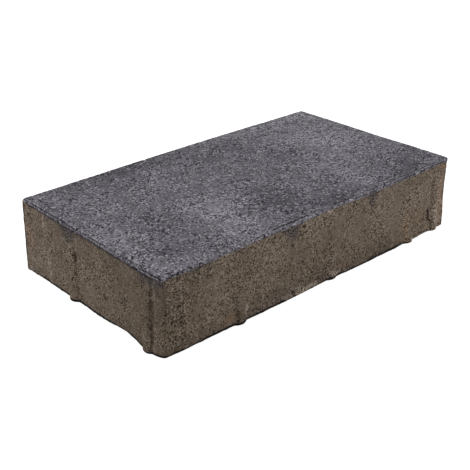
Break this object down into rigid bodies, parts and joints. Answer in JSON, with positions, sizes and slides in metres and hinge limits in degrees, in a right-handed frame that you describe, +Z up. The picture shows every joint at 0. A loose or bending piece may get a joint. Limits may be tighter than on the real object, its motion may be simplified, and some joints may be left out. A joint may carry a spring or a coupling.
{
  "type": "paving stone",
  "caption": "Rectangular cast concrete paving stone with softly rounded top edges and upright spacer ribs with flared feet on its sides.",
  "frame": {"origin": "middle of the bed, the flat face the stone lies on", "axes": "+X along the long sides, +Y along the short sides, +Z up from the bed to the walked-on top face"},
  "size_m": [0.3102, 0.1782, 0.06],
  "materials": {
    "concrete": "rough cast concrete, dark grey mottled top, grey-brown sides"
  },
  "bodies": {
    "root": {"paving_stone": "concrete"}
  },
  "joints": []
}
